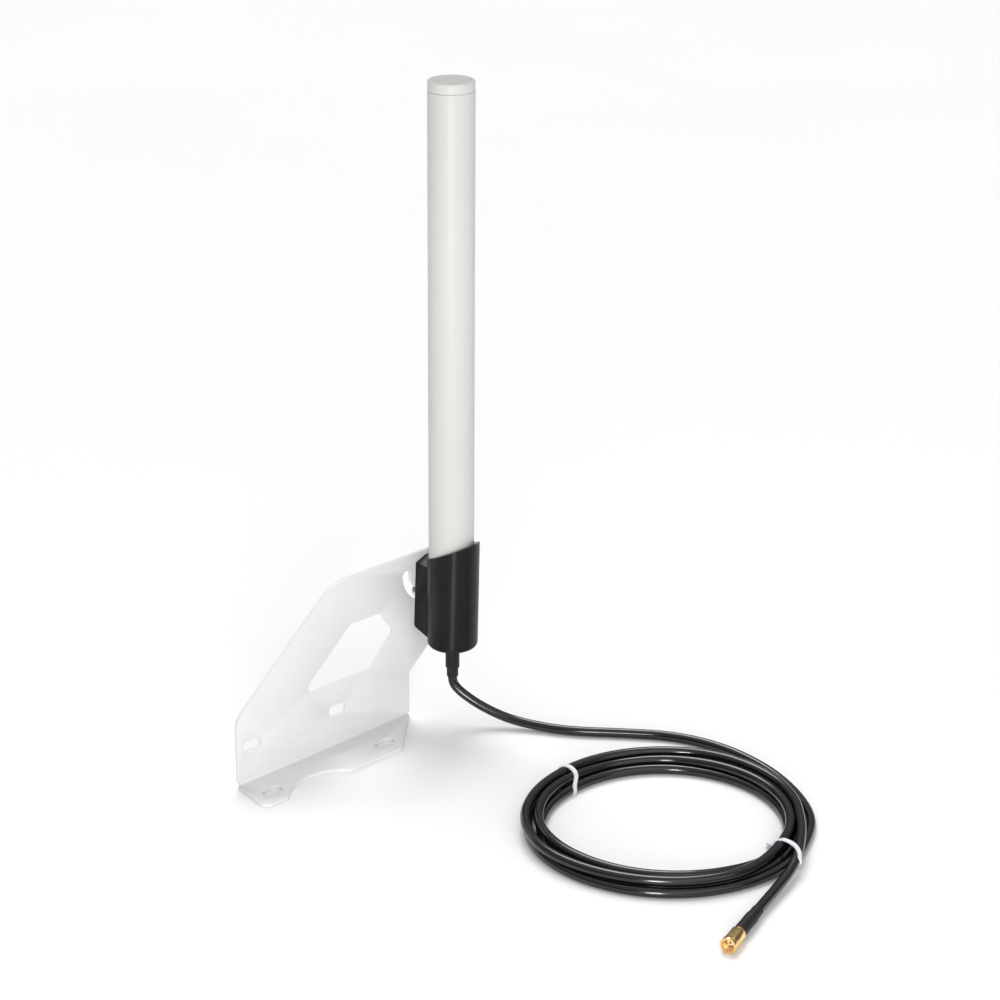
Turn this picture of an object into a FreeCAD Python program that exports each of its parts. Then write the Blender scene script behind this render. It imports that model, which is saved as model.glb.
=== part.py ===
import FreeCAD, Part
import os
import math
from FreeCAD import Vector as V

# Omnidirectional antenna with a tilting holder, a slotted sheet-metal bracket
# and a coiled coaxial lead. Millimetres, +Z up, +X along the bracket plate,
# +Y from the antenna towards the plate's back. The origin is midway between
# the two floor slots, on the underside of the flange.

# ---- driving dimensions -------------------------------------------------
SHEET = 2.0                 # bracket sheet thickness
PLATE_Y = 17.5              # front face of the upright plate
PLATE_TOP = 102.5           # height of the plate
PLATE_L = -51.5             # left edge of the plate
PLATE_R = 111.0             # right edge of the plate
PLATE_LOW_R = 78.0          # right edge of the plate's lower part
FLANGE_FRONT = -12.0        # front edge of the flange
BEND_R_IN = 1.2             # inner bend radius
SLOT_W = 6.5                # width of the mounting slots
SLOT_LEN = 13.0             # end-to-end length of the mounting slots
FLANGE_SLOT_DX = 84.0       # spacing of the flange slots
PLATE_SLOT_DX = 63.0        # spacing of the plate slots
PLATE_SLOT_X = -9.5         # middle of the plate slots
PLATE_SLOT_Z = 23.6

PIVOT_X = 92.0
PIVOT_Z = 90.5
ARC_R = 15.6                # centreline radius of the tilt slot
ARC_W = 6.0                 # width of the tilt slot
PIVOT_HOLE_R = 2.54

AX = 92.0                   # antenna axis
AY = -3.5
TUBE_R = 13.0
TUBE_WALL = 1.6
TUBE_Z0 = 54.0
TUBE_Z1 = 377.0
CAP_Z1 = 381.0

CUP_Z0 = 49.2
CUP_R0 = 14.6               # outer radius at the bottom
CUP_R1 = 14.2               # outer radius near the rim
CUP_OUT0 = 0.9              # the cup's centre stands this far out at the bottom
CUP_OUT1 = 3.0              # and this far near the rim
CUP_ZT = 115.0
CUP_ZR = 107.8              # height of the slanted rim on the axis
RIM_Q = 0.468               # rise of the rim away from the plate
RIM_P = 0.05                # rise of the rim along X
REAR_R = 13.9               # rear wall around the tube
CUP_FOOT = 3.0              # rounding of the bottom edge
BLOCK_GAP = 0.2             # gap between holder block and plate

BOLT_R = 2.45
CABLE_R = 2.75
CABLE_Y = -4.4              # the cable leaves a little in front of the tube axis
SLEEVE_R1 = 4.1
SLEEVE_R2 = 3.35
SLEEVE_Z1 = 34.8
SLEEVE_Z0 = 29.5

COIL_X = 84.0               # centre of the coil
COIL_Y = -177.9
COIL_RI = 61.0
COIL_RO = 78.2
COIL_Z0 = 1.1
COIL_Z1 = 12.0
TIE_T = 1.1                 # thickness of the tie band
TIE_W = 3.0

os.makedirs("parts", exist_ok=True)


# ---- helpers ------------------------------------------------------------
def save(name, shape):
    shape.exportStep("parts/%s.step" % name)
    n = len(shape.Solids)
    print("%-18s solids %d volume %.1f valid %s" % (name, n, shape.Volume, shape.isValid()))


def poly_face(points):
    return Part.Face(Part.makePolygon([V(*p) for p in points] + [V(*points[0])]))


def xz_prism(points, y0, y1):
    f = poly_face([(x, y0, z) for x, z in points])
    return f.extrude(V(0, y1 - y0, 0))


def xy_prism(points, z0, z1):
    f = poly_face([(x, y, z0) for x, y in points])
    return f.extrude(V(0, 0, z1 - z0))


def cyl(r, h, base, axis=(0, 0, 1)):
    return Part.makeCylinder(r, h, V(*base), V(*axis))


def box(x0, y0, z0, x1, y1, z1):
    return Part.makeBox(x1 - x0, y1 - y0, z1 - z0, V(x0, y0, z0))


def ring(ro, ri, h, base, axis=(0, 0, 1)):
    return cyl(ro, h, base, axis).cut(cyl(ri, h, base, axis))


def slot_x_along_z(cx, cy, length, width, z0, z1):
    r = width / 2.0
    d = length / 2.0 - r
    s = box(cx - d, cy - r, z0, cx + d, cy + r, z1)
    s = s.fuse(cyl(r, z1 - z0, (cx - d, cy, z0)))
    return s.fuse(cyl(r, z1 - z0, (cx + d, cy, z0)))


def slot_x_along_y(cx, cz, length, width, y0, y1):
    r = width / 2.0
    d = length / 2.0 - r
    s = box(cx - d, y0, cz - r, cx + d, y1, cz + r)
    s = s.fuse(cyl(r, y1 - y0, (cx - d, y0, cz), (0, 1, 0)))
    return s.fuse(cyl(r, y1 - y0, (cx + d, y0, cz), (0, 1, 0)))


def edge_near(shape, direction, point, tol=0.6):
    """Straight edges along direction that pass within tol of point."""
    out = []
    d = V(*direction)
    for e in shape.Edges:
        if e.Curve.__class__.__name__ not in ("Line", "LineSegment"):
            continue
        t = e.Vertexes[-1].Point.sub(e.Vertexes[0].Point)
        if t.Length < 1e-6 or abs(abs(t.normalize().dot(d)) - 1) > 1e-4:
            continue
        c = e.CenterOfMass
        w = c.sub(V(*point))
        w = w.sub(V(d).multiply(w.dot(d)))
        if w.Length < tol:
            out.append(e)
    return out


def fillet_at(shape, direction, spots):
    for point, r in spots:
        es = edge_near(shape, direction, point)
        if not es:
            print("no edge at", point)
            continue
        shape = shape.makeFillet(r, es)
    return shape


def single(shape):
    return shape.Solids[0] if len(shape.Solids) == 1 else shape


# ---- mounting bracket ---------------------------------------------------
def make_bracket():
    y0, y1 = PLATE_Y, PLATE_Y + SHEET
    zb = SHEET + BEND_R_IN
    slope = math.tan(math.radians(40.4))
    z_left = 41.4
    x_top = PLATE_L + (PLATE_TOP - z_left) / slope
    z_low = 28.6
    z_right = z_low + (PLATE_R - PLATE_LOW_R) * slope
    plate = xz_prism([(PLATE_L, zb), (PLATE_L, z_left), (x_top, PLATE_TOP), (PLATE_R, PLATE_TOP),
                      (PLATE_R, z_right), (PLATE_LOW_R, z_low), (PLATE_LOW_R, zb)], y0, y1)
    plate = fillet_at(plate, (0, 1, 0), [
        ((PLATE_L, 0, z_left), 12.5), ((x_top, 0, PLATE_TOP), 27.0),
        ((PLATE_R, 0, PLATE_TOP), 8.0), ((PLATE_R, 0, z_right), 10.0), ((PLATE_LOW_R, 0, z_low), 3.0)])
    # six-sided window whose upper right side is an arc about the pivot
    tl, tr = (32.8, 73.4), (58.0, 73.4)
    r_, br, bl = (67.6, 60.6), (48.0, 40.4), (-5.6, 40.4)
    win = xz_prism([tl, tr, (72.0, 70.0), r_, br, bl], y0 - 1, y1 + 1)
    arc_cut = cyl(39.6, SHEET + 4, (PIVOT_X, y0 - 2, PIVOT_Z), (0, 1, 0))
    win = win.cut(arc_cut)
    dx = math.sqrt(39.6 ** 2 - (PIVOT_Z - 73.4) ** 2)
    # where the arc meets the right side
    best = None
    k = 0.0
    while k < 1.0:
        x = br[0] + (r_[0] - br[0]) * k
        z = br[1] + (r_[1] - br[1]) * k
        g = abs(math.hypot(x - PIVOT_X, z - PIVOT_Z) - 39.6)
        if best is None or g < best[0]:
            best = (g, x, z)
        k += 0.0005
    win = fillet_at(win, (0, 1, 0), [
        ((tl[0], 0, tl[1]), 6.0), ((PIVOT_X - dx, 0, 73.4), 2.6), ((best[1], 0, best[2]), 3.0),
        ((br[0], 0, br[1]), 5.0), ((bl[0], 0, bl[1]), 3.7)])
    plate = plate.cut(win)
    for s in (-1, 1):
        plate = plate.cut(slot_x_along_y(PLATE_SLOT_X + s * PLATE_SLOT_DX / 2, PLATE_SLOT_Z,
                                         SLOT_LEN, SLOT_W, y0 - 1, y1 + 1))
    # pivot hole and quarter-turn tilt slot
    plate = plate.cut(cyl(PIVOT_HOLE_R, SHEET + 2, (PIVOT_X, y0 - 1, PIVOT_Z), (0, 1, 0)))
    band = ring(ARC_R + ARC_W / 2, ARC_R - ARC_W / 2, SHEET + 2, (PIVOT_X, y0 - 1, PIVOT_Z), (0, 1, 0))
    band = band.common(box(PIVOT_X - 30, y0 - 2, PIVOT_Z - 30, PIVOT_X, y1 + 2, PIVOT_Z))
    for dx_, dz_ in ((-ARC_R, 0.0), (0.0, -ARC_R)):
        band = band.fuse(cyl(ARC_W / 2, SHEET + 2, (PIVOT_X + dx_, y0 - 1, PIVOT_Z + dz_), (0, 1, 0)))
    plate = plate.cut(band)
    # flange with its scalloped front edge
    yf = PLATE_Y - BEND_R_IN
    pts = [(-52.6, yf), (-57.6, FLANGE_FRONT), (45.0, FLANGE_FRONT), (76.6, yf)]
    flange = xy_prism(pts, 0, SHEET)
    flange = flange.cut(cyl(30.8, SHEET + 2, (-16.5, -31.7, -1)))
    flange = fillet_at(flange, (0, 0, 1), [((-57.6, FLANGE_FRONT, 0), 6.0), ((45.0, FLANGE_FRONT, 0), 4.0)])
    fx = math.sqrt(30.8 ** 2 - (31.7 + FLANGE_FRONT) ** 2)
    flange = fillet_at(flange, (0, 0, 1), [((-16.5 - fx, FLANGE_FRONT, 0), 3.0), ((-16.5 + fx, FLANGE_FRONT, 0), 3.0)])
    for s in (-1, 1):
        flange = flange.cut(slot_x_along_z(s * FLANGE_SLOT_DX / 2, 0, SLOT_LEN, SLOT_W, -1, SHEET + 1))
    # bend, a little short at both ends as relief
    cy, cz = PLATE_Y - BEND_R_IN, SHEET + BEND_R_IN
    ro, ri = BEND_R_IN + SHEET, BEND_R_IN
    k = math.sqrt(0.5)
    prof = Part.Wire([
        Part.LineSegment(V(0, cy, cz - ro), V(0, cy, cz - ri)).toShape(),
        Part.Arc(V(0, cy, cz - ri), V(0, cy + ri * k, cz - ri * k), V(0, cy + ri, cz)).toShape(),
        Part.LineSegment(V(0, cy + ri, cz), V(0, cy + ro, cz)).toShape(),
        Part.Arc(V(0, cy + ro, cz), V(0, cy + ro * k, cz - ro * k), V(0, cy, cz - ro)).toShape()])
    bend = Part.Face(prof).extrude(V(PLATE_LOW_R - 1.6 - (PLATE_L + 1.0), 0, 0))
    bend.translate(V(PLATE_L + 1.0, 0, 0))
    return single(plate.fuse([flange, bend]).removeSplitter())


# ---- holder -------------------------------------------------------------
def rim_cutter():
    """Everything above the slanted rim plane."""
    n = V(-RIM_P, RIM_Q, 1.0)
    b = Part.makeBox(200, 200, 200, V(-100, -100, 0))
    b.Placement = FreeCAD.Placement(V(AX, AY, CUP_ZR), FreeCAD.Rotation(V(0, 0, 1), n))
    return b


def leaning_cup(top):
    """Round body that leans away from the plate, with a rounded foot."""
    k = (top - CUP_Z0) / (CUP_ZT - CUP_Z0)
    r = CUP_R0 + (CUP_R1 - CUP_R0) * k
    out = CUP_OUT0 + (CUP_OUT1 - CUP_OUT0) * k
    w0 = Part.Wire([Part.Circle(V(AX, AY - CUP_OUT0, CUP_Z0), V(0, 0, 1), CUP_R0).toShape()])
    w1 = Part.Wire([Part.Circle(V(AX, AY - out, top), V(0, 0, 1), r).toShape()])
    s = Part.makeLoft([w0, w1], True, True)
    low = [e for e in s.Edges if abs(e.BoundBox.ZMax - CUP_Z0) < 1e-3]
    return s.makeFillet(CUP_FOOT, low)


def make_holder():
    top = 130.0
    cup = leaning_cup(top)
    rear = cyl(REAR_R, top - CUP_Z0 - 6.0, (AX, AY, CUP_Z0 + 6.0))
    cup = cup.fuse(rear).removeSplitter()
    cup = cup.cut(rim_cutter())
    # mounting block behind the cup, tapered upwards, arched on top
    yb = PLATE_Y - BLOCK_GAP
    z0, z1 = 57.0, 96.7
    h0, h1 = 10.4, 8.4
    ridge = 3.1
    blk = xz_prism([(AX - h0, z0 - 8), (AX - h1, z1), (AX, z1 + ridge), (AX + h1, z1), (AX + h0, z0 - 8)], AY, yb)
    # slanted underside
    cut = Part.Face(Part.makePolygon([V(AX - 30, yb + 1, z0 + 0.3), V(AX - 30, AY - 1, z0 - 0.3 * (yb - AY) - 0.3),
                                      V(AX - 30, AY - 1, 30), V(AX - 30, yb + 1, 30),
                                      V(AX - 30, yb + 1, z0 + 0.3)])).extrude(V(60, 0, 0))
    blk = blk.cut(cut)
    es = [e for e in blk.Edges if abs(e.BoundBox.YMin - yb) < 1e-3 and abs(e.BoundBox.YMax - yb) < 1e-3
          and e.BoundBox.ZMax < z0 + 1.5]
    try:
        f = blk.makeFillet(2.0, es)
        if f.isValid():
            blk = f
    except Exception as err:
        print("block fillet failed", err)
    body = cup.fuse(blk).removeSplitter()
    body = body.cut(cyl(TUBE_R + 0.12, 120, (AX, AY, TUBE_Z0)))
    body = body.cut(cyl(SLEEVE_R1 + 0.05, 20, (AX, CABLE_Y, CUP_Z0 - 5)))
    for z in (PIVOT_Z, PIVOT_Z - ARC_R):
        body = body.cut(cyl(3.2, 6.0, (AX, yb - 6.0, z), (0, 1, 0)))
    return single(body)


# ---- cable --------------------------------------------------------------
def tube_route(points, r, label):
    """Round tube along straight runs joined by tangent arcs."""
    P = [V(*p) for p in points]
    runs = [P[i + 1].sub(P[i]) for i in range(len(P) - 1)]
    lens = [q.Length for q in runs]
    edges, at, radii = [], P[0], []
    for i in range(1, len(P) - 1):
        a = V(runs[i - 1]).normalize()
        b = V(runs[i]).normalize()
        turn = a.getAngle(b)
        short = min(lens[i - 1], lens[i])
        rad = 0.45 * short / math.tan(turn / 2)
        t = 0.45 * short
        s = P[i].sub(V(a).multiply(t))
        e = P[i].add(V(b).multiply(t))
        bis = V(b).sub(a).normalize()
        c = P[i].add(V(bis).multiply(rad / math.cos(turn / 2)))
        m = c.sub(V(bis).multiply(rad))
        edges.append(Part.LineSegment(at, s).toShape())
        edges.append(Part.Arc(s, m, e).toShape())
        at = e
        radii.append(rad)
    edges.append(Part.LineSegment(at, P[-1]).toShape())
    path = Part.Wire(edges)
    circ = Part.Wire([Part.Circle(P[0], runs[0], r).toShape()])
    tube = path.makePipeShell([circ], True, False)
    solid = tube if tube.ShapeType == "Solid" else Part.Solid(tube)
    want = math.pi * r * r * path.Length
    print("%s length %.1f runs %s" % (label, path.Length, " ".join("%.0f" % q for q in lens)))
    print("   arc radii %s" % " ".join("%.0f" % q for q in radii))
    print("   volume %.0f of %.0f" % (solid.Volume, want))
    return solid


def coil_section(grow):
    """Rounded section of the tied coil in the XZ plane, grown by grow."""
    x0, x1 = COIL_RI - grow, COIL_RO + grow
    z0, z1 = COIL_Z0 - grow, COIL_Z1 + grow
    f = poly_face([(x0, 0, z0), (x1, 0, z0), (x1, 0, z1), (x0, 0, z1)])
    s = f.extrude(V(0, 1, 0))
    s = s.makeFillet(4.0 + grow, [e for e in s.Edges if abs(e.tangentAt(e.FirstParameter).y) > 0.9])
    for g in s.Faces:
        if abs(g.normalAt(0, 0).y) > 0.9 and abs(g.CenterOfMass.y) < 1e-3:
            return g


def make_coil():
    s = coil_section(0.0).revolve(V(0, 0, 0), V(0, 0, 1), 360)
    s.translate(V(COIL_X, COIL_Y, 0))
    return s


def make_tie(angle, head_in=True):
    w = math.degrees(TIE_W / ((COIL_RI + COIL_RO) / 2))
    outer = coil_section(TIE_T).revolve(V(0, 0, 0), V(0, 0, 1), w)
    inner = coil_section(0.0).revolve(V(0, 0, 0), V(0, 0, 1), w)
    s = outer.cut(inner)
    head = box(COIL_RI - TIE_T - 2.6, -0.9, 5.0, COIL_RI - TIE_T + 0.2, 3.9, 9.6)
    s = s.fuse(head).removeSplitter()
    s.rotate(V(0, 0, 0), V(0, 0, 1), angle - w / 2)
    s.translate(V(COIL_X, COIL_Y, 0))
    return single(s)


# route of the lead, from the sleeve under the holder to the coil
LEAD = [
    (92.0, -4.4, 29.5),
    (92.0, -4.4, 25.4),
    (93.6, -7.1, 21.2),
    (96.7, -12.1, 16.7),
    (101.5, -20.3, 11.4),
    (109.0, -32.7, 5.9),
    (118.2, -48.0, 3.3),
    (128.9, -66.3, 2.85),
    (147.0, -86.3, 2.8),
    (167.0, -110.5, 2.85),
    (178.3, -141.0, 2.8),
    (176.3, -176.0, 2.85),
    (166.3, -206.8, 2.8),
    (150.5, -228.8, 3.0),
    (134.5, -240.8, 4.0),
    (121.5, -245.0, 5.6),
]

# route of the tail, from the coil to the heat-shrink behind the connector
TAIL = [
    (119.0, -246.5, 7.0),
    (100.0, -257.6, 6.4),
    (77.5, -265.9, 5.1),
    (63.0, -269.9, 4.6),
]

# plug axis: centre of its front face and the direction from front to cable
PLUG = V(11.8, -286.5, 4.45)
PLUG_D = V(0.950, 0.313, 0.0).normalize()
PLUG_LEN = 14.6             # front face to the sleeve's front end
SLEEVE_STEP = 32.0
SLEEVE_END = 39.8           # rear end of the heat-shrink behind the connector


def plug_pt(s, dz=0.0):
    p = PLUG.add(V(PLUG_D).multiply(s))
    return (p.x, p.y, p.z + dz)


def plug_cyl(r, s0, s1):
    return cyl(r, s1 - s0, plug_pt(s0), (PLUG_D.x, PLUG_D.y, PLUG_D.z))


def plug_ring(ro, ri, s0, s1):
    return plug_cyl(ro, s0, s1).cut(plug_cyl(ri, s0 - 0.5, s1 + 0.5))


def hex_prism(af, s0, s1):
    r = af / math.sqrt(3)
    up = V(0, 0, 1)
    side = PLUG_D.cross(up).normalize()
    base = V(*plug_pt(s0))
    pts = []
    for i in range(6):
        t = math.radians(60 * i)
        pts.append(base.add(V(side).multiply(r * math.cos(t))).add(V(up).multiply(r * math.sin(t))))
    pts.append(pts[0])
    return Part.Face(Part.makePolygon(pts)).extrude(V(PLUG_D).multiply(s1 - s0))


def make_coupling_nut():
    h = hex_prism(8.0, 2.6, 13.2)
    cone = Part.makeCone(4.0, 8.4, 4.4, V(*plug_pt(2.4)), PLUG_D)
    back = Part.makeCone(8.9, 3.9, 5.0, V(*plug_pt(8.4)), PLUG_D)
    h = h.common(plug_cyl(4.5, 2.0, 14.0)).common(cone.fuse(plug_cyl(8.4, 6.8, 14.0)))
    h = h.common(back.fuse(plug_cyl(8.9, 2.0, 8.4)))
    rim = plug_cyl(4.4, 0.0, 3.2)
    nut = h.fuse(rim).removeSplitter()
    nut = nut.cut(plug_cyl(3.2, -0.5, 8.0))       # threaded bore for the mating jack
    nut = nut.cut(plug_cyl(2.68, 7.5, 14.5))      # neck that turns on the plug body
    return single(nut)


def make_antenna():
    save("radome_tube", ring(TUBE_R, TUBE_R - TUBE_WALL, TUBE_Z1 - TUBE_Z0, (AX, AY, TUBE_Z0)))
    ri = TUBE_R - TUBE_WALL
    cap = cyl(TUBE_R, CAP_Z1 - TUBE_Z1, (AX, AY, TUBE_Z1))
    rim = [e for e in cap.Edges if abs(e.BoundBox.ZMin - CAP_Z1) < 1e-3]
    cap = cap.makeFillet(0.8, rim)
    cap = cap.cut(cyl(TUBE_R - 1.9, 1.0, (AX, AY, CAP_Z1 - 0.5)))
    cap = cap.fuse(cyl(ri - 0.05, 10.0, (AX, AY, TUBE_Z1 - 10.0)))
    cap = cap.cut(ring(ri + 1, 9.6, 2.0, (AX, AY, TUBE_Z1 - 6.0)))
    cap = cap.cut(cyl(8.4, 8.5, (AX, AY, TUBE_Z1 - 10.0))).removeSplitter()
    save("top_cap", single(cap))
    save("cap_seal_ring", Part.makeTorus(10.5, 0.88, V(AX, AY, TUBE_Z1 - 5.0), V(0, 0, 1)))

    # radiating parts inside the tube
    board = box(AX - 9.0, AY - 0.5, 128, AX + 9.0, AY + 0.5, 364)
    save("antenna_board", board)
    yf = AY - 0.5
    up = box(AX - 6.5, yf - 0.2, 249, AX + 6.5, yf, 345)
    up = up.fuse(box(AX - 2.0, yf - 0.2, 246.5, AX + 2.0, yf, 249)).removeSplitter()
    save("upper_radiator", single(up))
    lo = box(AX - 8.0, yf - 0.2, 150, AX + 8.0, yf, 245)
    lo = lo.cut(box(AX - 3.0, yf - 1, 149, AX + 3.0, yf + 1, 236))
    save("lower_radiator", single(lo))
    cy = AY + 2.1             # thin coax behind the board
    coax = cyl(CABLE_R, 62.0 - SLEEVE_Z0, (AX, CABLE_Y, SLEEVE_Z0))
    coax = coax.fuse(cyl(1.5, 246.0 - 60.2, (AX, cy, 60.2))).removeSplitter()
    save("feed_coax", single(coax))
    save("choke_sleeve", ring(3.1, 1.55, 44.0, (AX, cy, 74.0)))
    base = cyl(ri - 0.05, 6.0, (AX, AY, TUBE_Z0)).cut(cyl(CABLE_R + 0.05, 8.0, (AX, CABLE_Y, TUBE_Z0 - 1)))
    save("base_plug", base)
    spacers = []
    for z in (136.0, 226.0, 318.0):
        s = cyl(ri - 0.05, 9.0, (AX, AY, z))
        s = s.cut(box(AX - 9.1, AY - 0.8, z - 1, AX + 9.1, AY + 0.6, z + 10))
        s = s.cut(box(AX - 1.65, AY + 0.5, z - 1, AX + 1.65, cy, z + 10)).cut(cyl(1.65, 12, (AX, cy, z - 1)))
        s = s.removeSplitter()
        spacers.append(single(s))
    save("board_spacers", Part.makeCompound(spacers))

    # fixings through the plate
    yb = PLATE_Y - BLOCK_GAP
    y_out = PLATE_Y + SHEET + BLOCK_GAP
    zs = (PIVOT_Z, PIVOT_Z - ARC_R)
    ins = []
    for z in zs:
        s = ring(3.2, 2.5, 5.8, (AX, yb - 6.0, z), (0, 1, 0))
        ins.append(s)
    save("threaded_inserts", Part.makeCompound(ins))
    save("flat_washers", Part.makeCompound([ring(5.5, 2.6, 1.0, (AX, y_out, z), (0, 1, 0)) for z in zs]))
    spr = []
    for z in zs:
        s = ring(4.4, 2.6, 1.2, (AX, y_out + 1.0, z), (0, 1, 0))
        s = s.cut(box(AX - 0.5, y_out, z, AX + 0.5, y_out + 3, z + 6))
        spr.append(single(s))
    save("spring_washers", Part.makeCompound(spr))
    for name, z in (("pivot_bolt", zs[0]), ("clamp_bolt", zs[1])):
        yh = y_out + 2.2
        shank = cyl(BOLT_R, yh - (yb - 5.6) + 0.5, (AX, yb - 5.6, z), (0, 1, 0))
        rr = 8.0 / math.sqrt(3)
        pts = [V(AX + rr * math.cos(math.radians(60 * i)), yh, z + rr * math.sin(math.radians(60 * i))) for i in range(6)]
        head = Part.Face(Part.makePolygon(pts + [pts[0]])).extrude(V(0, 3.5, 0))
        head = head.common(Part.makeCone(4.9, 4.1, 3.5, V(AX, yh, z), V(0, 1, 0)).fuse(cyl(4.6, 2.9, (AX, yh, z), (0, 1, 0))))
        save(name, single(shank.fuse(head).removeSplitter()))

    # two-step heat-shrink where the cable leaves the holder
    sl = cyl(SLEEVE_R1, TUBE_Z0 - 0.1 - SLEEVE_Z1, (AX, CABLE_Y, SLEEVE_Z1))
    sl = sl.fuse(cyl(SLEEVE_R2, SLEEVE_Z1 - SLEEVE_Z0, (AX, CABLE_Y, SLEEVE_Z0)))
    sl = sl.cut(cyl(CABLE_R + 0.03, 60, (AX, CABLE_Y, SLEEVE_Z0 - 1))).removeSplitter()
    save("cable_sleeve", single(sl))


def make_plug():
    s0 = PLUG_LEN
    s1 = SLEEVE_END
    sl = plug_cyl(3.5, s0, SLEEVE_STEP).fuse(plug_cyl(3.1, SLEEVE_STEP, s1))
    sl = sl.cut(plug_cyl(3.17, s0 - 1.0, SLEEVE_STEP - 1.2)).cut(plug_cyl(CABLE_R + 0.03, s0, s1 + 1)).removeSplitter()
    save("plug_sleeve", single(sl))
    # ferrule crimped over the braid, under the heat-shrink
    save("crimp_ferrule", plug_ring(3.15, CABLE_R + 0.03, s0 + 1.6, s0 + 11.0))
    # body: front shell inside the nut, flange, neck, shoulder, tail
    b = plug_cyl(2.6, 4.2, 13.6)
    b = b.fuse(plug_cyl(3.05, 5.9, 7.4))
    b = b.fuse(plug_cyl(3.75, 13.35, s0 - 0.05)).fuse(plug_cyl(3.1, s0 - 0.5, s0 + 1.5))
    b = b.cut(plug_cyl(2.05, 3.0, 12.0)).cut(plug_cyl(1.2, 11.0, s0 + 3)).removeSplitter()
    save("plug_body", single(b))
    save("plug_dielectric", plug_ring(2.03, 0.64, 4.6, 11.9))
    pin = plug_cyl(0.62, 3.4, 15.6).fuse(Part.makeCone(0.62, 0.25, 0.9, V(*plug_pt(3.4)), V(PLUG_D).multiply(-1)))
    save("plug_centre_pin", single(pin.removeSplitter()))
    save("plug_gasket", plug_ring(3.1, 2.62, 4.9, 5.8))
    save("snap_ring", plug_ring(3.05, 2.62, 7.42, 7.92))
    save("coupling_nut", make_coupling_nut())
    return s1


def main():
    save("mounting_bracket", make_bracket())
    save("antenna_holder", make_holder())
    make_antenna()
    save("cable_lead", tube_route(LEAD, CABLE_R, "cable_lead"))
    save("cable_coil", make_coil())
    save("coil_tie_left", make_tie(93.5))
    save("coil_tie_right", make_tie(-73.0))
    s1 = make_plug()
    end = plug_pt(s1)
    save("cable_tail", tube_route(TAIL + [end], CABLE_R, "cable_tail"))


main()
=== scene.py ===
import math

import bmesh
import bpy
from mathutils import Matrix, Vector


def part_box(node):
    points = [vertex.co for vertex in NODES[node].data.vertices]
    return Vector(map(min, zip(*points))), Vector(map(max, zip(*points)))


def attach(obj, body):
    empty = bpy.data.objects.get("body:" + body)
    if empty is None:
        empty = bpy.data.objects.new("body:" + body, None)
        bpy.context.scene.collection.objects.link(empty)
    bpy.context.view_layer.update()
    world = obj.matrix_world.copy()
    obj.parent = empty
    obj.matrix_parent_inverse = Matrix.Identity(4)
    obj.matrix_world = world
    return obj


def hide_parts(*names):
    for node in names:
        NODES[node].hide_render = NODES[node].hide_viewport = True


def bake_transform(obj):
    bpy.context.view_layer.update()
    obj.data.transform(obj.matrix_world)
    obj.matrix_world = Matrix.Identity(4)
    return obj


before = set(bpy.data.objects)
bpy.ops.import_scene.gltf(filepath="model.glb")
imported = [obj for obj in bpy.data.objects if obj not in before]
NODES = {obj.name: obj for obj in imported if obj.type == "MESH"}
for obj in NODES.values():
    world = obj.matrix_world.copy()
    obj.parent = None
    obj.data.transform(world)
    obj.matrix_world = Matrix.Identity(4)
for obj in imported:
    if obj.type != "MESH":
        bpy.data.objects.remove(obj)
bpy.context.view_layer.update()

MM = 0.001
scene = bpy.context.scene


# ---- camera ---------------------------------------------------------------
def make_camera():
    t = math.radians(44.802)
    p = math.radians(22.0)
    right = Vector((math.cos(t), -math.sin(t), 0))
    fwd = Vector((math.sin(t) * math.cos(p), math.cos(t) * math.cos(p), -math.sin(p)))
    up = Vector((math.sin(t) * math.sin(p), math.cos(t) * math.sin(p), math.cos(p)))
    r = math.radians(0.4)
    right, up = right * math.cos(r) + up * math.sin(r), up * math.cos(r) - right * math.sin(r)
    cam = bpy.data.objects.new("camera", bpy.data.cameras.new("camera"))
    m = Matrix.Identity(4)
    for i, v in enumerate((right, up, -fwd)):
        for j in range(3):
            m[j][i] = v[j]
    m.translation = Vector((-0.9064, -1.0479, 0.7230))
    cam.matrix_world = m
    cam.data.lens = 99.0
    cam.data.sensor_width = 36.0
    cam.data.clip_start = 0.05
    cam.data.clip_end = 30.0
    scene.collection.objects.link(cam)
    scene.camera = cam
    return right, fwd, up


CAM_RIGHT, CAM_FWD, CAM_UP = make_camera()
VIEW = Vector((CAM_FWD.x, CAM_FWD.y, 0)).normalized()     # horizontal viewing direction
SIDE = Vector((CAM_RIGHT.x, CAM_RIGHT.y, 0)).normalized()


# ---- materials ------------------------------------------------------------
def new_material(name, color, rough, metallic=0.0, specular=0.5, coat=0.0, coat_rough=0.1,
                 subsurface=0.0, sheen=0.0, transmission=0.0):
    m = bpy.data.materials.new(name)
    m.use_nodes = True
    nt = m.node_tree
    b = nt.nodes["Principled BSDF"]
    b.inputs["Base Color"].default_value = (*color, 1)
    b.inputs["Roughness"].default_value = rough
    b.inputs["Metallic"].default_value = metallic
    b.inputs["Specular IOR Level"].default_value = specular
    b.inputs["Coat Weight"].default_value = coat
    b.inputs["Coat Roughness"].default_value = coat_rough
    if subsurface:
        b.inputs["Subsurface Weight"].default_value = subsurface
        b.inputs["Subsurface Radius"].default_value = (0.002, 0.002, 0.002)
        b.inputs["Subsurface Scale"].default_value = 1.0
    if transmission:
        b.inputs["Transmission Weight"].default_value = transmission
    return m, nt, b


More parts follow.
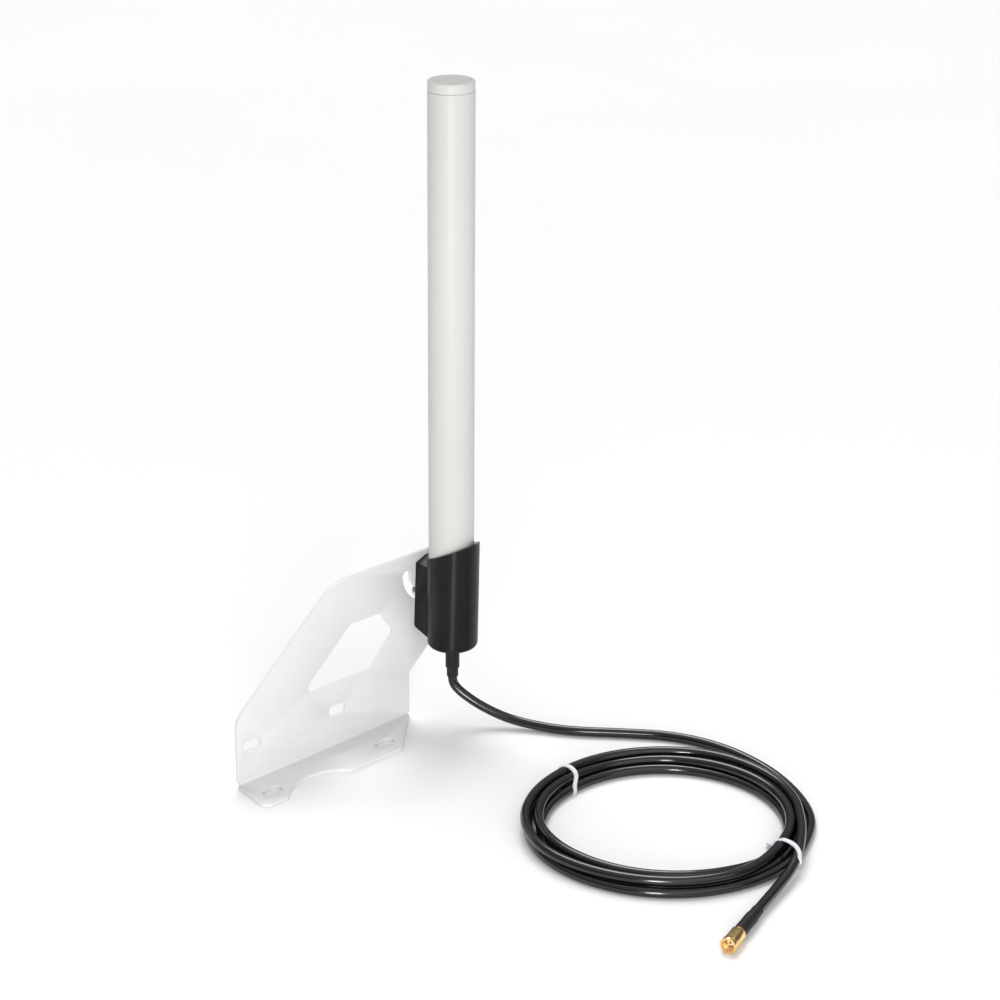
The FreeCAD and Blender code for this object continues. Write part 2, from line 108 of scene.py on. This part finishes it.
def noise(nt, scale, detail=3.0, rough=0.5, stretch=None):
    tc = nt.nodes.new("ShaderNodeTexCoord")
    n = nt.nodes.new("ShaderNodeTexNoise")
    n.inputs["Scale"].default_value = scale
    n.inputs["Detail"].default_value = detail
    n.inputs["Roughness"].default_value = rough
    if stretch:
        mp = nt.nodes.new("ShaderNodeMapping")
        mp.inputs["Scale"].default_value = stretch
        nt.links.new(tc.outputs["Object"], mp.inputs["Vector"])
        nt.links.new(mp.outputs["Vector"], n.inputs["Vector"])
    else:
        nt.links.new(tc.outputs["Object"], n.inputs["Vector"])
    return n.outputs["Fac"]


def ramp(nt, fac, stops):
    r = nt.nodes.new("ShaderNodeValToRGB")
    cr = r.color_ramp
    while len(cr.elements) < len(stops):
        cr.elements.new(0.5)
    for e, (pos, c) in zip(cr.elements, stops):
        e.position = pos
        e.color = (*c, 1) if len(c) == 3 else c
    nt.links.new(fac, r.inputs["Fac"])
    return r.outputs["Color"]


def spread(nt, fac, lo, hi, f0=0.3, f1=0.7):
    m = nt.nodes.new("ShaderNodeMapRange")
    m.inputs["From Min"].default_value = f0
    m.inputs["From Max"].default_value = f1
    m.inputs["To Min"].default_value = lo
    m.inputs["To Max"].default_value = hi
    nt.links.new(fac, m.inputs["Value"])
    return m.outputs["Result"]


def bump(nt, b, height, strength, distance):
    n = nt.nodes.new("ShaderNodeBump")
    n.inputs["Strength"].default_value = strength
    n.inputs["Distance"].default_value = distance
    nt.links.new(height, n.inputs["Height"])
    nt.links.new(n.outputs["Normal"], b.inputs["Normal"])


def scaled(c, k):
    return tuple(min(1.0, v * k) for v in c)


def surface(name, color, rough, vary=0.04, scale=60.0, bump_scale=900.0, bump_strength=0.12,
            bump_distance=0.0001, rough_vary=0.05, stretch=None, **kw):
    """A moulded, painted or plated surface: slow colour drift, fine grain in roughness and bump."""
    m, nt, b = new_material(name, color, rough, **kw)
    slow = noise(nt, scale, 3.0, 0.55, stretch)
    nt.links.new(ramp(nt, slow, [(0.3, scaled(color, 1 - vary)), (0.7, scaled(color, 1 + vary))]), b.inputs["Base Color"])
    fine = noise(nt, bump_scale, 4.0, 0.6, stretch)
    nt.links.new(spread(nt, fine, max(0.02, rough - rough_vary), rough + rough_vary), b.inputs["Roughness"])
    bump(nt, b, fine, bump_strength, bump_distance)
    return m


def powder_coat():
    """Fine orange peel over a satin white coat."""
    c = (0.73, 0.725, 0.72)
    m, nt, b = new_material("bracket_powder_coat", c, 0.42, specular=0.3)
    slow = noise(nt, 22, 3, 0.5)
    nt.links.new(ramp(nt, slow, [(0.25, scaled(c, 0.975)), (0.75, scaled(c, 1.02))]), b.inputs["Base Color"])
    peel = noise(nt, 1150, 2, 0.45)
    nt.links.new(spread(nt, peel, 0.36, 0.50), b.inputs["Roughness"])
    bump(nt, b, peel, 0.30, 0.00012)
    return m


def radome():
    """Smooth pultruded tube: faint lengthways drawing marks and a soft off-white drift."""
    c = (0.59, 0.582, 0.571)
    m, nt, b = new_material("radome_offwhite", c, 0.40, specular=0.3)
    slow = noise(nt, 9, 3, 0.5)
    nt.links.new(ramp(nt, slow, [(0.3, scaled(c, 0.975)), (0.7, scaled(c, 1.02))]), b.inputs["Base Color"])
    draw = noise(nt, 700, 3, 0.6, (1.0, 1.0, 0.02))
    nt.links.new(spread(nt, draw, 0.36, 0.46), b.inputs["Roughness"])
    bump(nt, b, draw, 0.10, 0.00006)
    return m


def moulded_black():
    """Satin black moulding, warm in its sheen, with a fine spark-eroded grain."""
    c = (0.0052, 0.0042, 0.0040)
    m, nt, b = new_material("holder_black", c, 0.36, specular=0.25)
    b.inputs["Anisotropic"].default_value = 0.9
    b.inputs["Anisotropic Rotation"].default_value = 0.25
    tan = nt.nodes.new("ShaderNodeTangent")
    tan.direction_type = "RADIAL"
    tan.axis = "Z"
    nt.links.new(tan.outputs["Tangent"], b.inputs["Tangent"])
    slow = noise(nt, 70, 4, 0.6)
    nt.links.new(ramp(nt, slow, [(0.3, scaled(c, 0.8)), (0.7, scaled(c, 1.3))]), b.inputs["Base Color"])
    grain = noise(nt, 1500, 3, 0.6, (0.06, 0.06, 1.0))
    nt.links.new(spread(nt, grain, 0.30, 0.42), b.inputs["Roughness"])
    bump(nt, b, grain, 0.35, 0.00012)
    return m


def cable_jacket():
    """Extruded PVC: glossy, with slow ripples and fine haze."""
    c = (0.0040, 0.0040, 0.0048)
    m, nt, b = new_material("cable_jacket", c, 0.22, specular=0.6)
    slow = noise(nt, 45, 3, 0.5)
    nt.links.new(ramp(nt, slow, [(0.3, scaled(c, 0.75)), (0.7, scaled(c, 1.35))]), b.inputs["Base Color"])
    haze = noise(nt, 420, 4, 0.6)
    nt.links.new(spread(nt, haze, 0.12, 0.19), b.inputs["Roughness"])
    bump(nt, b, haze, 0.035, 0.00006)
    return m


def shrink():
    c = (0.0085, 0.008, 0.0085)
    m, nt, b = new_material("heat_shrink", c, 0.5, specular=0.3)
    slow = noise(nt, 160, 3, 0.55)
    nt.links.new(ramp(nt, slow, [(0.3, scaled(c, 0.7)), (0.7, scaled(c, 1.5))]), b.inputs["Base Color"])
    wr = noise(nt, 620, 3, 0.6)
    nt.links.new(spread(nt, wr, 0.46, 0.64), b.inputs["Roughness"])
    bump(nt, b, wr, 0.28, 0.00018)
    return m


def gold():
    c = (0.93, 0.66, 0.27)
    m, nt, b = new_material("gold_plate", c, 0.2, metallic=1.0)
    slow = noise(nt, 260, 3, 0.5)
    nt.links.new(ramp(nt, slow, [(0.25, (0.84, 0.52, 0.18)), (0.75, (0.96, 0.68, 0.32))]), b.inputs["Base Color"])
    tool = noise(nt, 2600, 3, 0.6)
    nt.links.new(spread(nt, tool, 0.09, 0.20), b.inputs["Roughness"])
    bump(nt, b, tool, 0.04, 0.00002)
    return m


def tie_nylon():
    c = (0.80, 0.83, 0.88)
    m, nt, b = new_material("tie_nylon", c, 0.34, specular=0.5, subsurface=0.25, transmission=0.12)
    slow = noise(nt, 300, 3, 0.5)
    nt.links.new(ramp(nt, slow, [(0.3, scaled(c, 0.93)), (0.7, scaled(c, 1.05))]), b.inputs["Base Color"])
    fine = noise(nt, 1500, 2, 0.5)
    nt.links.new(spread(nt, fine, 0.28, 0.42), b.inputs["Roughness"])
    bump(nt, b, fine, 0.12, 0.00006)
    return m


M = {
    "bracket": powder_coat(),
    "radome": radome(),
    "holder": moulded_black(),
    "cable": cable_jacket(),
    "shrink": shrink(),
    "gold": gold(),
    "tie": tie_nylon(),
    "steel": surface("zinc_steel", (0.55, 0.56, 0.57), 0.32, metallic=1.0, vary=0.08, scale=220, bump_scale=1800, bump_strength=0.15, rough_vary=0.09),
    "brass": surface("turned_brass", (0.72, 0.53, 0.25), 0.3, metallic=1.0, vary=0.08, scale=200, bump_scale=1500, rough_vary=0.08),
    "nickel": surface("nickel_tube", (0.62, 0.6, 0.57), 0.28, metallic=1.0, vary=0.05, scale=120, bump_scale=1500, rough_vary=0.08),
    "copper": surface("tinned_copper", (0.78, 0.44, 0.27), 0.3, metallic=1.0, vary=0.1, scale=120, bump_scale=1200, rough_vary=0.1),
    "board": surface("solder_mask", (0.03, 0.16, 0.07), 0.35, vary=0.15, scale=90, bump_scale=700, bump_strength=0.2),
    # a darker copy of the tube's off-white: painted shade on the top of the end cap
    "cap": surface("cap_top_painted_shade", (0.50, 0.485, 0.47), 0.5, vary=0.03, scale=120, bump_scale=900, bump_strength=0.25, rough_vary=0.06, specular=0.2),
    "foam": surface("foam_spacer", (0.78, 0.78, 0.75), 0.85, vary=0.06, scale=150, bump_scale=900, bump_strength=0.6, bump_distance=0.0004),
    "ptfe": surface("fluoropolymer", (0.80, 0.76, 0.68), 0.38, vary=0.05, scale=300, bump_scale=1500, subsurface=0.2),
    "seal": surface("seal_rubber", (0.02, 0.02, 0.02), 0.6, vary=0.2, scale=300, bump_scale=1200, bump_strength=0.3),
}

CAD_LOOK = {
    "mounting_bracket": "bracket", "antenna_holder": "holder", "radome_tube": "radome", "top_cap": "radome",
    "cap_seal_ring": "seal", "antenna_board": "board", "upper_radiator": "copper", "lower_radiator": "copper",
    "feed_coax": "cable", "choke_sleeve": "nickel", "board_spacers": "foam", "base_plug": "foam",
    "pivot_bolt": "steel", "clamp_bolt": "steel", "flat_washers": "steel", "spring_washers": "steel",
    "threaded_inserts": "brass", "cable_sleeve": "shrink", "cable_lead": "cable", "cable_coil": "cable",
    "cable_tail": "cable", "coil_tie_left": "tie", "coil_tie_right": "tie", "plug_sleeve": "shrink",
    "crimp_ferrule": "gold", "plug_body": "gold", "plug_dielectric": "ptfe", "plug_centre_pin": "gold",
    "plug_gasket": "seal", "snap_ring": "gold", "coupling_nut": "gold",
}
BEVELS = {
    "mounting_bracket": 0.00035, "pivot_bolt": 0.0002, "clamp_bolt": 0.0002, "flat_washers": 0.00015,
    "coupling_nut": 0.00018, "plug_body": 0.00012,
}


def finish_cad():
    for name, o in NODES.items():
        o.data.materials.clear()
        o.data.materials.append(M[CAD_LOOK[name]])
        w = o.modifiers.new("join", "WELD")
        w.merge_threshold = 0.000004
        if name in BEVELS:
            b = o.modifiers.new("edge", "BEVEL")
            b.width = BEVELS[name]
            b.segments = 2
            b.limit_method = "ANGLE"
            b.angle_limit = math.radians(35)
            b.harden_normals = False
        smooth(o, 32)


def smooth(o, angle=32):
    """Smooth shading with hard edges where faces meet at more than angle."""
    g = bpy.data.node_groups.get("smooth_%d" % angle)
    if g is None:
        g = bpy.data.node_groups.new("smooth_%d" % angle, "GeometryNodeTree")
        g.interface.new_socket("Geometry", in_out="INPUT", socket_type="NodeSocketGeometry")
        g.interface.new_socket("Geometry", in_out="OUTPUT", socket_type="NodeSocketGeometry")
        gi, go = g.nodes.new("NodeGroupInput"), g.nodes.new("NodeGroupOutput")
        ang = g.nodes.new("GeometryNodeInputMeshEdgeAngle")
        cmp_ = g.nodes.new("FunctionNodeCompare")
        cmp_.data_type = "FLOAT"
        cmp_.operation = "LESS_EQUAL"
        cmp_.inputs[1].default_value = math.radians(angle)
        s1 = g.nodes.new("GeometryNodeSetShadeSmooth")
        s1.domain = "EDGE"
        s2 = g.nodes.new("GeometryNodeSetShadeSmooth")
        s2.domain = "FACE"
        g.links.new(gi.outputs[0], s2.inputs["Geometry"])
        g.links.new(s2.outputs[0], s1.inputs["Geometry"])
        g.links.new(ang.outputs["Unsigned Angle"], cmp_.inputs[0])
        g.links.new(cmp_.outputs[0], s1.inputs["Shade Smooth"])
        g.links.new(s1.outputs[0], go.inputs[0])
    mod = o.modifiers.new("smooth", "NODES")
    mod.node_group = g


finish_cad()


# ---- mesh helpers ---------------------------------------------------------
def mesh_object(name, bm, material, auto=32):
    bmesh.ops.recalc_face_normals(bm, faces=bm.faces)
    me = bpy.data.meshes.new(name)
    bm.to_mesh(me)
    bm.free()
    for p in me.polygons:
        p.use_smooth = True
    o = bpy.data.objects.new(name, me)
    scene.collection.objects.link(o)
    me.materials.append(material)
    if auto:
        smooth(o, auto)
    return o


def lathe(name, profile, material, origin, axis, seg=72, closed=True, auto=32):
    """Turned body: profile is [(distance along the axis, radius)] in mm, a closed loop round its wall."""
    w = Vector(axis).normalized()
    u = w.orthogonal().normalized()
    v = w.cross(u)
    base = Vector(origin)
    bm = bmesh.new()
    rings = []
    for s, r in profile:
        if r < 1e-6:
            rings.append([bm.verts.new((base + w * s) * MM)])
            continue
        rings.append([bm.verts.new((base + w * s + (u * math.cos(2 * math.pi * i / seg) + v * math.sin(2 * math.pi * i / seg)) * r) * MM)
                      for i in range(seg)])
    n = len(rings)
    pairs = [(i, i + 1) for i in range(n - 1)] + ([(n - 1, 0)] if closed else [])
    for a, b in pairs:
        A, B = rings[a], rings[b]
        for i in range(seg):
            j = (i + 1) % seg
            if len(A) == 1 and len(B) == 1:
                continue
            if len(A) == 1:
                bm.faces.new((A[0], B[i], B[j]))
            elif len(B) == 1:
                bm.faces.new((A[i], A[j], B[0]))
            else:
                bm.faces.new((A[i], A[j], B[j], B[i]))
    return mesh_object(name, bm, material, auto)


def rounded(profile, radius, steps=4):
    """Profile with its corners cut by small arcs; radius is one number or one per corner."""
    out = []
    n = len(profile)
    for i in range(n):
        r = radius[i] if isinstance(radius, (list, tuple)) else radius
        p, a, b = Vector(profile[i]), Vector(profile[i - 1]), Vector(profile[(i + 1) % n])
        if r <= 0:
            out.append((p.x, p.y))
            continue
        da, db = a - p, b - p
        t = min(r, da.length * 0.45, db.length * 0.45)
        s, e = p + da.normalized() * t, p + db.normalized() * t
        for k in range(steps + 1):
            q = k / steps
            w = s * (1 - q) ** 2 + p * 2 * q * (1 - q) + e * q * q
            out.append((w.x, w.y))
    return out


# ---- the cable: one spline from the holder to the connector ---------------
LEAD = [
    (92.0, -4.4, 29.5), (92.0, -4.4, 25.4), (93.6, -7.1, 21.2), (96.7, -12.1, 16.7), (101.5, -20.3, 11.4),
    (109.0, -32.7, 5.9), (118.2, -48.0, 3.3), (128.9, -66.3, 2.85), (147.0, -86.3, 2.8), (167.0, -110.5, 2.85),
    (176.7, -141.3, 2.8), (174.5, -175.6, 2.85), (164.0, -205.0, 2.8), (149.4, -227.6, 2.8), (132.9, -240.0, 2.8),
]
COIL_C = (83.2, -177.9)
COIL = [
    (78.50, 2.80), (75.79, 2.80), (74.43, 2.80), (74.10, 2.80), (74.30, 2.80), (74.82, 2.80), (74.87, 2.80), (74.27, 2.80),
    (74.95, 2.80), (76.77, 2.80), (77.68, 2.80), (78.34, 2.80), (77.28, 2.80), (75.83, 2.80), (74.54, 2.80), (73.08, 2.80),
    (70.11, 2.80), (68.71, 2.80), (68.32, 2.80), (68.31, 2.80), (68.48, 2.80), (67.81, 2.80), (65.47, 2.80), (64.24, 2.80),
    (65.08, 2.80), (66.64, 2.80), (68.12, 2.80), (69.65, 2.80), (69.96, 2.80), (68.90, 2.80), (67.66, 2.80), (66.13, 6.20),
    (65.45, 7.85), (64.98, 8.19), (65.04, 8.10), (66.84, 8.10), (68.86, 8.11), (68.32, 8.16), (68.73, 6.93), (70.86, 5.27),
    (72.16, 5.80), (71.11, 7.31), (71.33, 7.92), (71.27, 8.09), (70.24, 8.26), (69.09, 8.50), (72.88, 8.51), (72.11, 8.38),
    (71.17, 8.29), (72.81, 8.28), (76.04, 8.20), (76.41, 8.19), (74.94, 8.23), (74.15, 8.51), (75.23, 8.77), (77.68, 8.40),
    (80.83, 8.22), (79.92, 8.19), (77.85, 8.19),
]
TAIL = [
    (130.7, -235.9, 8.3), (117.5, -246.2, 8.6), (102.0, -256.6, 7.6), (88.5, -262.3, 5.9), (76.0, -266.1, 5.0),
    (63.0, -269.9, 4.6), (49.6, -274.0, 4.45),
]
CABLE_D = 5.5


def cable_points():
    pts = list(LEAD)
    a = -75.0
    for r, z in COIL:
        pts.append((COIL_C[0] + r * math.cos(math.radians(a)), COIL_C[1] + r * math.sin(math.radians(a)), z))
        a -= 24.0
    return pts + TAIL


def make_cable():
    pts = cable_points()
    cu = bpy.data.curves.new("cable_line", "CURVE")
    cu.dimensions = "3D"
    sp = cu.splines.new("NURBS")
    sp.points.add(len(pts) - 1)
    for q, p in zip(sp.points, pts):
        q.co = (p[0] * MM, p[1] * MM, p[2] * MM, 1.0)
    sp.order_u = 3
    sp.use_endpoint_u = True
    sp.resolution_u = 12
    line = bpy.data.objects.new("cable_line", cu)
    scene.collection.objects.link(line)
    bpy.context.view_layer.update()
    me = bpy.data.meshes.new_from_object(line)
    path = [tuple(v.co) for v in me.vertices]
    bpy.data.meshes.remove(me)
    # the same line with the jacket on it
    cu.bevel_depth = CABLE_D / 2 * MM
    cu.bevel_resolution = 6
    cu.use_fill_caps = True
    bpy.context.view_layer.update()
    dg = bpy.context.evaluated_depsgraph_get()
    tube = bpy.data.meshes.new_from_object(line.evaluated_get(dg), depsgraph=dg)
    tube.name = "coax_cable"
    bpy.data.objects.remove(line)
    for p in tube.polygons:
        p.use_smooth = len(p.vertices) == 4
    o = bpy.data.objects.new("coax_cable", tube)
    scene.collection.objects.link(o)
    tube.materials.clear()
    tube.materials.append(M["cable"])
    return o, path


cable, PATH = make_cable()
LENGTH = sum((Vector(b) - Vector(a)).length for a, b in zip(PATH, PATH[1:]))
print("cable length", round(LENGTH, 4), "points", len(PATH))


# ---- ties -----------------------------------------------------------------
def hull2(points):
    pts = sorted(points)
    def half(seq):
        out = []
        for p in seq:
            while len(out) > 1 and (out[-1][0] - out[-2][0]) * (p[1] - out[-2][1]) - (out[-1][1] - out[-2][1]) * (p[0] - out[-2][0]) <= 0:
                out.pop()
            out.append(p)
        return out
    lo, hi = half(pts), half(reversed(pts))
    return lo[:-1] + hi[:-1]


def strands_at(origin, along, reach):
    """Where the cable's line crosses the plane through origin across along, as (out, up) in mm."""
    o, n = Vector(origin) * MM, Vector(along).normalized()
    out_dir = n.cross(Vector((0, 0, 1))).normalized()
    if out_dir.dot(Vector((origin[0] - COIL_C[0], origin[1] - COIL_C[1], 0))) < 0:
        out_dir = -out_dir
    got = []
    for a, b in zip(PATH, PATH[1:]):
        a, b = Vector(a), Vector(b)
        da, db = (a - o).dot(n), (b - o).dot(n)
        if da * db < 0:
            p = a.lerp(b, da / (da - db))
            w = (p - o).dot(out_dir) / MM
            if abs(w) < reach:
                got.append((w, p.z / MM))
    return got, out_dir


def make_tie(name, inner, outer, node, head_at, bow, width=3.0, thick=0.95):
    origin = tuple((a + b) / 2 for a, b in zip(inner, outer))
    along = Vector((inner[1] - outer[1], outer[0] - inner[0], 0.0))
    if along.x < 0:
        along = -along
    got, out_dir = strands_at(origin, along, 17.0)
    circle = []
    for w, z in got:
        for i in range(40):
            t = 2 * math.pi * i / 40
            circle.append((w + (CABLE_D / 2 + 0.12) * math.cos(t), max(0.05, z + (CABLE_D / 2 + 0.12) * math.sin(t))))
    loop = hull2(circle)
    # even spacing round the loop
    P = [Vector(p) for p in loop]
    seg = [(P[(i + 1) % len(P)] - P[i]).length for i in range(len(P))]
    total = sum(seg)
    N = 96
    ring = []
    i, acc = 0, 0.0
    for k in range(N):
        s = total * k / N
        while acc + seg[i] < s:
            acc += seg[i]
            i += 1
        ring.append(P[i].lerp(P[(i + 1) % len(P)], (s - acc) / max(seg[i], 1e-9)))
    for _ in range(3):
        ring = [(ring[k - 1] + ring[k] * 2 + ring[(k + 1) % N]) / 4 for k in range(N)]
    c = sum(ring, Vector((0, 0))) / N
    n = Vector(along).normalized()
    o = Vector(origin)

    w0, w1 = min(q[0] for q in ring), max(q[0] for q in ring)

    def at(w, z, y):
        k = max(0.0, min(1.0, (w - w0) / (w1 - w0)))
        arc = bow * 4 * k * (1 - k) * max(0.0, min(1.0, (z - 1.0) / 7.0))
        return (o + out_dir * w + n * (y + arc) + Vector((0, 0, max(0.02, z) - o.z))) * MM

    bm = bmesh.new()
    rows = []
    # band section: flat inside, softly crowned outside
    sect = [(-0.5, 0.0), (-0.42, 0.35), (-0.3, 0.9), (0.0, 1.0), (0.3, 0.9), (0.42, 0.35), (0.5, 0.0), (0.3, -0.02), (-0.3, -0.02)]
    for k in range(N):
        t = (ring[(k + 1) % N] - ring[k - 1]).normalized()
        nrm = Vector((t.y, -t.x))
        if nrm.dot(ring[k] - c) < 0:
            nrm = -nrm
        rows.append([bm.verts.new(at(*(ring[k] + nrm * (0.05 + h * thick)), y * width)) for y, h in sect])
    m = len(sect)
    for k in range(N):
        for j in range(m):
            bm.faces.new((rows[k][j], rows[k][(j + 1) % m], rows[(k + 1) % N][(j + 1) % m], rows[(k + 1) % N][j]))
    band = mesh_object(name, bm, M["tie"], 40)
    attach(band, "root")
    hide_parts(node)
    if head_at is None:
        return [band]
    # head: a small rounded block, and the cut end of the strap in it
    idx = min(range(N), key=lambda k: (ring[k] - Vector(head_at)).length)
    t = (ring[(idx + 1) % N] - ring[idx - 1]).normalized()
    nrm = Vector((t.y, -t.x))
    if nrm.dot(ring[idx] - c) < 0:
        nrm = -nrm
    hb = bmesh.new()
    bmesh.ops.create_cube(hb, size=1.0)
    for v in hb.verts:
        x, y, z = v.co
        q = ring[idx] + nrm * (0.3 + (x + 0.5) * 2.4) + t * (z * 3.9)
        v.co = at(q.x, q.y, y * 4.0)
    bmesh.ops.bevel(hb, geom=hb.edges[:], offset=0.0007, segments=3, affect="EDGES", profile=0.6)
    head = mesh_object(name + "_head", hb, M["tie"], 40)
    tb = bmesh.new()
    bmesh.ops.create_cube(tb, size=1.0)
    for v in tb.verts:
        x, y, z = v.co
        q = ring[idx] + nrm * (2.4 + (x + 0.5) * 1.6) + t * (z * 1.0)
        v.co = at(q.x, q.y, y * width * 0.95)
    bmesh.ops.bevel(tb, geom=tb.edges[:], offset=0.00018, segments=2, affect="EDGES")
    stub = mesh_object(name + "_strap_end", tb, M["tie"], 40)
    for p in (head, stub):
        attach(p, "root")
    return [band, head, stub]


tie_l = make_tie("tie_left", (76.6, -120.9, 0.0), (82.0, -100.1, 0.0), "coil_tie_left", None, 4.5)
tie_r = make_tie("tie_right", (102.7, -239.8, 0.0), (99.5, -261.0, 0.0), "coil_tie_right", (-14.0, 7.0), 5.0)


# ---- heat-shrink sleeves --------------------------------------------------
lo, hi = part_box("cable_sleeve")
Z1 = hi.z / MM
sleeve = lathe("cable_sleeve_shrunk", [
    (29.5, 2.80), (29.6, 3.22), (29.9, 3.33), (32.0, 3.34), (34.2, 3.36), (34.7, 3.42), (35.0, 3.72), (35.25, 3.98), (35.7, 4.07),
    (38.0, 4.06), (42.0, 4.08), (46.0, 4.05), (50.0, 4.08), (Z1 - 0.1, 4.08), (Z1, 4.0), (Z1, 2.80)],
    M["shrink"], (92.0, -4.4, 0.0), (0, 0, 1), 64, True, 50)
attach(sleeve, "antenna")
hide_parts("cable_sleeve")

PLUG = (11.8, -286.5, 4.45)
PD = Vector((0.950, 0.313, 0.0)).normalized()
plug_sleeve = lathe("plug_sleeve_shrunk", [
    (14.65, 3.18), (14.65, 3.40), (14.85, 3.50), (17.0, 3.47), (20.0, 3.50), (24.0, 3.46), (28.0, 3.49), (31.3, 3.48), (31.8, 3.44),
    (32.1, 3.27), (32.4, 3.13), (33.0, 3.09), (36.0, 3.07), (39.3, 3.08), (39.7, 3.03), (39.8, 2.80), (31.0, 2.80), (30.6, 3.18)],
    M["shrink"], PLUG, PD, 64, True, 50)
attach(plug_sleeve, "root")
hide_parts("plug_sleeve")


# ---- end cap: rim flush with the tube, sunk disc with painted shade on its top ---
cap = lathe("cap_turned", rounded([
    (375.7, 12.45), (375.7, 12.9), (381.0, 12.9), (381.0, 11.3), (380.5, 10.9), (380.5, 0.0), (375.5, 0.0), (375.5, 8.4),
    (367.0, 8.4), (367.0, 11.35), (371.0, 11.35), (371.0, 9.6), (373.0, 9.6), (373.0, 11.35), (377.05, 11.35), (377.05, 12.45)],
    [0, 0.3, 0.8, 0.25, 0.25, 0, 0, 0.3, 0.3, 0.3, 0.1, 0.1, 0.1, 0.1, 0, 0], 5), M["radome"], (92.0, -3.5, 0.0), (0, 0, 1), 128, True, 40)
cap.data.materials.append(M["cap"])
# the flat faces of the sunk disc take the darker copy of the off-white: painted shade on the cap's top
for p in cap.data.polygons:
    if abs(p.normal.z) > 0.9 and (Vector((p.center.x - 0.092, p.center.y + 0.0035)).length < 0.0108):
        p.material_index = 1
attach(cap, "antenna")
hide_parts("top_cap")
tube_lo, tube_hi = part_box("radome_tube")
radome_tube = lathe("radome_drawn", rounded([(tube_lo.z / MM, 13.0), (375.6, 13.0), (375.6, 12.4), (377.0, 12.4), (377.0, 11.4), (tube_lo.z / MM, 11.4)],
                                            [0.2, 0.35, 0, 0, 0.1, 0.1], 4), M["radome"], (92.0, -3.5, 0.0), (0, 0, 1), 144, True, 40)
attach(radome_tube, "antenna")
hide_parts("radome_tube")


# ---- thread inside the coupling nut --------------------------------------
def make_thread():
    w = PD
    u = Vector((0, 0, 1))
    v = w.cross(u)
    base = Vector(PLUG)
    bm = bmesh.new()
    pitch, turns, seg = 0.706, 8.0, 48
    rows = []
    n = int(turns * seg)
    for k in range(n + 1):
        t = 2 * math.pi * k / seg
        s = 0.7 + pitch * k / seg
        d = u * math.cos(t) + v * math.sin(t)
        fade = min(1.0, k / 24, (n - k) / 24)
        row = []
        for ds, r in ((-0.30, 3.21), (-0.06, 3.21 - 0.26 * fade), (0.06, 3.21 - 0.26 * fade), (0.30, 3.21), (0.0, 3.24)):
            row.append(bm.verts.new((base + w * (s + ds) + d * r) * MM))
        rows.append(row)
    for k in range(n):
        for j in range(5):
            bm.faces.new((rows[k][j], rows[k][(j + 1) % 5], rows[k + 1][(j + 1) % 5], rows[k + 1][j]))
    bm.faces.new(rows[0])
    bm.faces.new(list(reversed(rows[-1])))
    o = mesh_object("nut_thread", bm, M["gold"], 30)
    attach(o, "nut")
    return o


thread = make_thread()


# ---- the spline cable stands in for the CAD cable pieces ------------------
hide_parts("cable_lead", "cable_coil", "cable_tail")
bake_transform(cable)


# ---- floor and light ------------------------------------------------------
def make_floor():
    bm = bmesh.new()
    c = Vector((0.08, -0.1, 0))
    g = 8.75
    vs = []
    for j, (d, z) in enumerate(((-14.0, 0.0), (14.0, 0.0))):
        vs.append([bm.verts.new(c + VIEW * d + SIDE * s * g * 1.6 + Vector((0, 0, z))) for s in (-1, 1)])
    bm.faces.new((vs[0][0], vs[0][1], vs[1][1], vs[1][0]))
    m, nt, b = new_material("studio_floor", (0.88, 0.88, 0.88), 0.8, specular=0.1)
    f = noise(nt, 3.0, 2, 0.5)
    nt.links.new(ramp(nt, f, [(0.3, (0.875, 0.875, 0.875)), (0.7, (0.885, 0.885, 0.885))]), b.inputs["Base Color"])
    o = mesh_object("studio_floor", bm, m, 0)


make_floor()


def area(name, loc, target, size, energy, color=(1, 1, 1), size_y=None):
    l = bpy.data.lights.new(name, "AREA")
    l.energy = energy
    l.color = color
    l.shape = "RECTANGLE" if size_y else "SQUARE"
    l.size = size
    if size_y:
        l.size_y = size_y
    o = bpy.data.objects.new(name, l)
    o.location = loc
    o.rotation_euler = (Vector(target) - Vector(loc)).to_track_quat("-Z", "Y").to_euler()
    scene.collection.objects.link(o)
    return o


mid = Vector((0.06, -0.08, 0.12))


def soft_sun(name, toward, energy, angle):
    l = bpy.data.lights.new(name, "SUN")
    l.energy = energy
    l.angle = math.radians(angle)
    o = bpy.data.objects.new(name, l)
    o.rotation_euler = (-Vector(toward)).to_track_quat("-Z", "Y").to_euler()
    scene.collection.objects.link(o)
    return o


# an overhead bank behind for the shadows, a wide one at the front right, and a low strip ahead for the holder's streak
soft_sun("back_bank", VIEW * 0.62 - SIDE * 0.12 + Vector((0, 0, 1.0)), 1.75, 34)
soft_sun("front_bank", -VIEW * 1.0 + SIDE * 0.42 + Vector((0, 0, 0.45)), 0.95, 66)
area("strip", mid - VIEW * 1.15 - SIDE * 0.08 + Vector((0, 0, 0.09)), mid + Vector((0, 0, 0.02)), 0.20, 6.6, (1.0, 0.98, 0.96), 0.42)

world = bpy.data.worlds.new("studio")
scene.world = world
world.use_nodes = True
wt = world.node_tree
wtc = wt.nodes.new("ShaderNodeTexCoord")
wsep = wt.nodes.new("ShaderNodeSeparateXYZ")
wt.links.new(wtc.outputs["Generated"], wsep.inputs[0])
sky = ramp(wt, wsep.outputs["Z"], [(0.0, (0.10, 0.10, 0.10)), (0.4, (0.30, 0.30, 0.30)), (1.0, (0.85, 0.85, 0.86))])
wt.links.new(sky, wt.nodes["Background"].inputs["Color"])
wt.nodes["Background"].inputs["Strength"].default_value = 0.95
scene.view_settings.view_transform = "Standard"
scene.view_settings.look = "None"
scene.view_settings.exposure = 0.0
